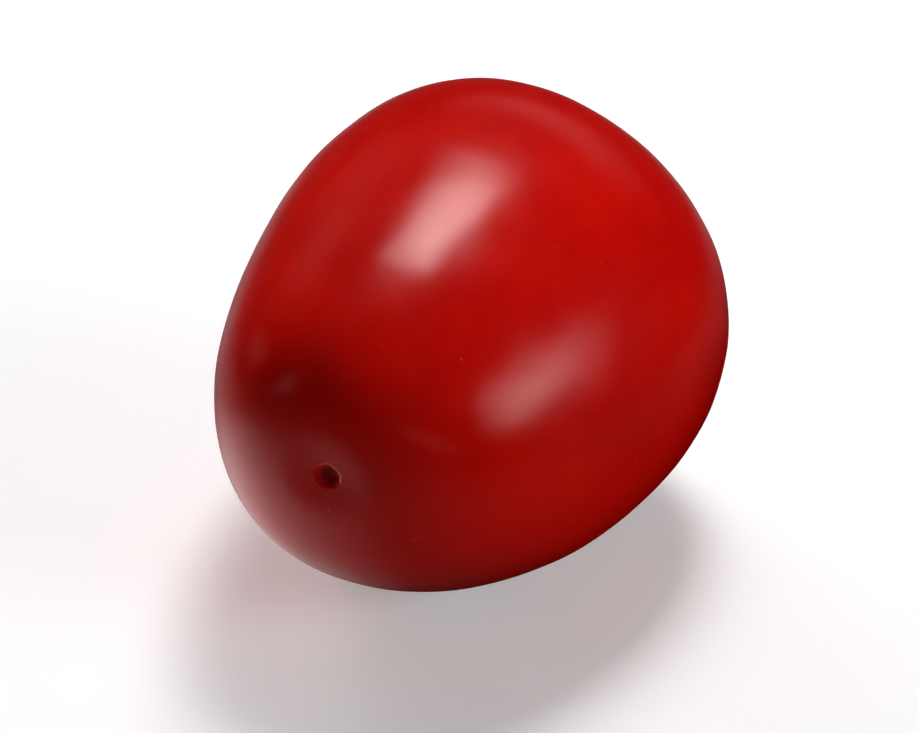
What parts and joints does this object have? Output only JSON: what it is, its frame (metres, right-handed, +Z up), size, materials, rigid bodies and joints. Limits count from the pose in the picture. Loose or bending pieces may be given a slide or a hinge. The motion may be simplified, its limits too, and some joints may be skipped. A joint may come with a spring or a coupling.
{
  "type": "plum tomato",
  "caption": "Ripe red plum tomato, picked without its stalk, lying on its side on a small flat spot, with a pit at the blossom end.",
  "frame": {"origin": "centre of the small flat rest spot on the underside, on the surface that the fruit lies on", "axes": "+Z up from that surface, +Y along the fruit towards its stem end, so the blossom end is at -Y, and +X to the right when looking along +Y"},
  "size_m": [0.0616, 0.072, 0.0601],
  "materials": {
    "skin": "smooth waxy tomato skin, deep red, satin gloss with soft highlights",
    "scar": "dry brown cork, matte and finely cracked"
  },
  "bodies": {
    "root": {"tomato": "skin"}
  },
  "joints": []
}
